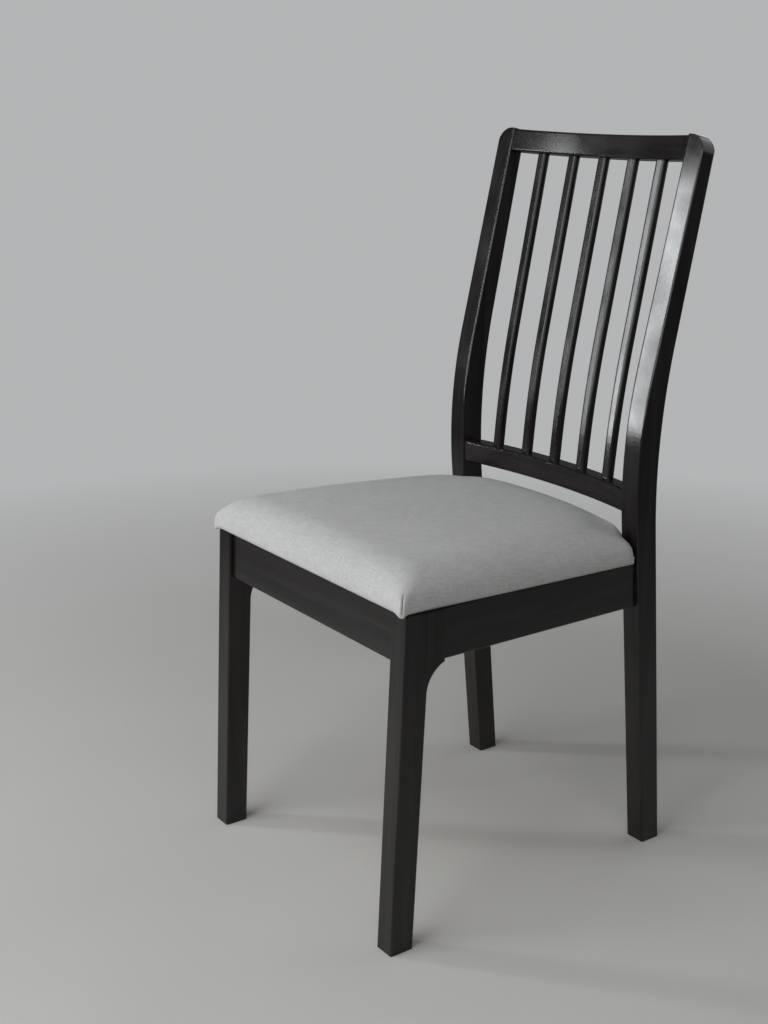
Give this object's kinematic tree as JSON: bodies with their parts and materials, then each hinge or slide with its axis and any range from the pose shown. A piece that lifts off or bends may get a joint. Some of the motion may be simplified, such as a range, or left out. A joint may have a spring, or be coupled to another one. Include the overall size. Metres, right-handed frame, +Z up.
{
  "type": "dining chair",
  "caption": "Dining chair with a bent and slatted wooden back, raked legs with curved haunches, and an upholstered seat pad.",
  "frame": {"origin": "on the floor under the middle of the chair's outline", "axes": "+Z up, the front faces -Y, +X to the right of someone who looks at the front"},
  "size_m": [0.438, 0.516, 0.954],
  "materials": {
    "dark_wood": "near-black brown stain under satin lacquer",
    "raw_wood": "unfinished light hardwood",
    "plywood": "unfinished plywood",
    "foam": "open-cell foam",
    "cover_cloth": "light warm grey woven cloth",
    "steel": "zinc-plated steel"
  },
  "bodies": {
    "root": {"front_leg_left": "dark_wood", "front_leg_right": "dark_wood", "rear_post_left": "dark_wood", "rear_post_right": "dark_wood", "front_rail": "dark_wood", "rear_rail": "dark_wood", "side_rail_left": "dark_wood", "side_rail_right": "dark_wood", "crest_rail": "dark_wood", "lower_back_rail": "dark_wood", "slat_1": "dark_wood", "slat_2": "dark_wood", "slat_3": "dark_wood", "slat_4": "dark_wood", "slat_5": "dark_wood", "corner_block_front_left": "raw_wood", "corner_block_front_right": "raw_wood", "corner_block_rear_left": "raw_wood", "corner_block_rear_right": "raw_wood", "seat_board": "plywood", "seat_foam": "foam", "seat_cover": "cover_cloth", "rail_dowels": "raw_wood", "back_dowels": "raw_wood", "block_screws": "steel", "seat_screws": "steel", "leg_bolts": "steel", "bolt_washers": "steel", "leg_inserts": "steel"}
  },
  "joints": []
}
